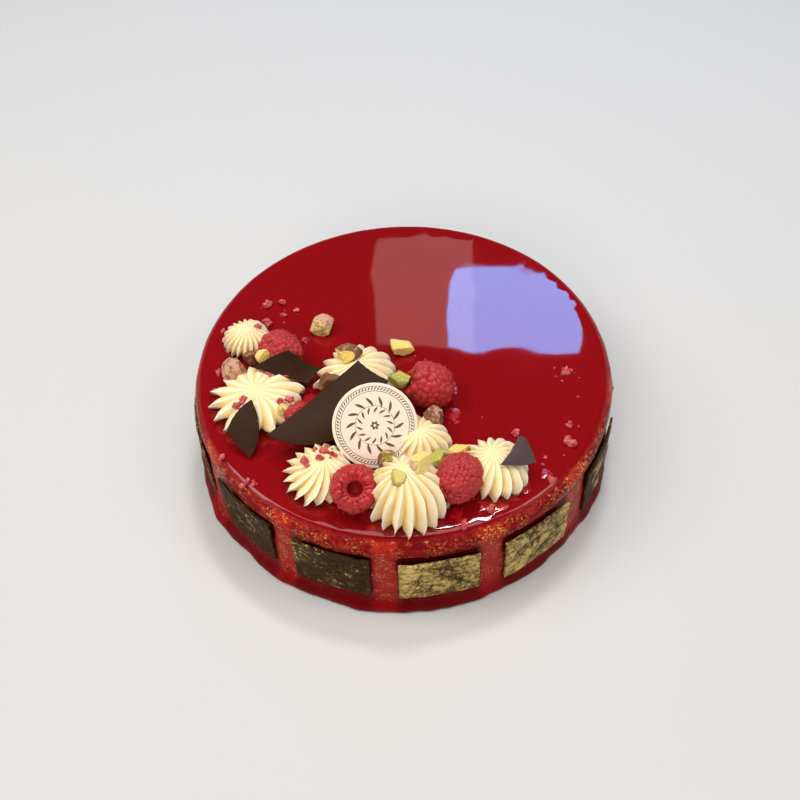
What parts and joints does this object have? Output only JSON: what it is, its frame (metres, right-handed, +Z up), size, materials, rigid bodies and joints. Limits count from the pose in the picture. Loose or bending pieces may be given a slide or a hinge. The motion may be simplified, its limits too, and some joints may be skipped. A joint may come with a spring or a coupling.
{
  "type": "round mirror-glazed layer cake",
  "caption": "Round red mirror-glazed cake with chocolate panels round its side and a crescent of piped cream rosettes, raspberries, pistachios and chocolate pieces on top.",
  "frame": {"origin": "centre of the cake's flat base, on the surface that it stands on", "axes": "+Z up; -Y towards the front of the cake, where the crescent of toppings lies; +X to the right seen from the front"},
  "size_m": [0.1934, 0.1934, 0.0745],
  "materials": {
    "red_mirror_glaze": "mirror-smooth deep red glaze",
    "gold_dusted_chocolate": "crinkled dark chocolate brushed with gold lustre",
    "whipped_cream": "satin piped cream",
    "raspberry": "soft satin berry skin",
    "dark_chocolate": "satin dark chocolate",
    "white_chocolate": "matte white chocolate",
    "pistachio": "dry chopped nut"
  },
  "bodies": {
    "root": {"glazed_cake": "red_mirror_glaze", "chocolate_panel_01": "gold_dusted_chocolate", "chocolate_panel_02": "gold_dusted_chocolate", "chocolate_panel_03": "gold_dusted_chocolate", "chocolate_panel_04": "gold_dusted_chocolate", "chocolate_panel_05": "gold_dusted_chocolate", "chocolate_panel_06": "gold_dusted_chocolate", "chocolate_panel_07": "gold_dusted_chocolate", "chocolate_panel_08": "gold_dusted_chocolate", "chocolate_panel_09": "gold_dusted_chocolate", "chocolate_panel_10": "gold_dusted_chocolate", "chocolate_panel_11": "gold_dusted_chocolate", "chocolate_panel_12": "gold_dusted_chocolate", "cream_rosette_1": "whipped_cream", "cream_rosette_2": "whipped_cream", "cream_rosette_3": "whipped_cream", "cream_rosette_4": "whipped_cream", "cream_rosette_5": "whipped_cream", "cream_rosette_6": "whipped_cream", "cream_rosette_7": "whipped_cream", "raspberry_1": "raspberry", "raspberry_2": "raspberry", "raspberry_3": "raspberry", "raspberry_4": "raspberry", "raspberry_5": "raspberry", "chocolate_shard_1": "dark_chocolate", "chocolate_shard_2": "dark_chocolate", "chocolate_shard_3": "dark_chocolate", "chocolate_shard_4": "dark_chocolate", "chocolate_medallion": "white_chocolate", "pistachio_01": "pistachio", "pistachio_02": "pistachio", "pistachio_03": "pistachio", "pistachio_04": "pistachio", "pistachio_05": "pistachio", "pistachio_06": "pistachio", "pistachio_07": "pistachio", "pistachio_08": "pistachio", "pistachio_09": "pistachio", "pistachio_10": "pistachio", "pistachio_11": "pistachio", "pistachio_12": "pistachio", "pistachio_13": "pistachio", "pistachio_14": "pistachio", "pistachio_15": "pistachio", "pistachio_16": "pistachio"}
  },
  "joints": []
}
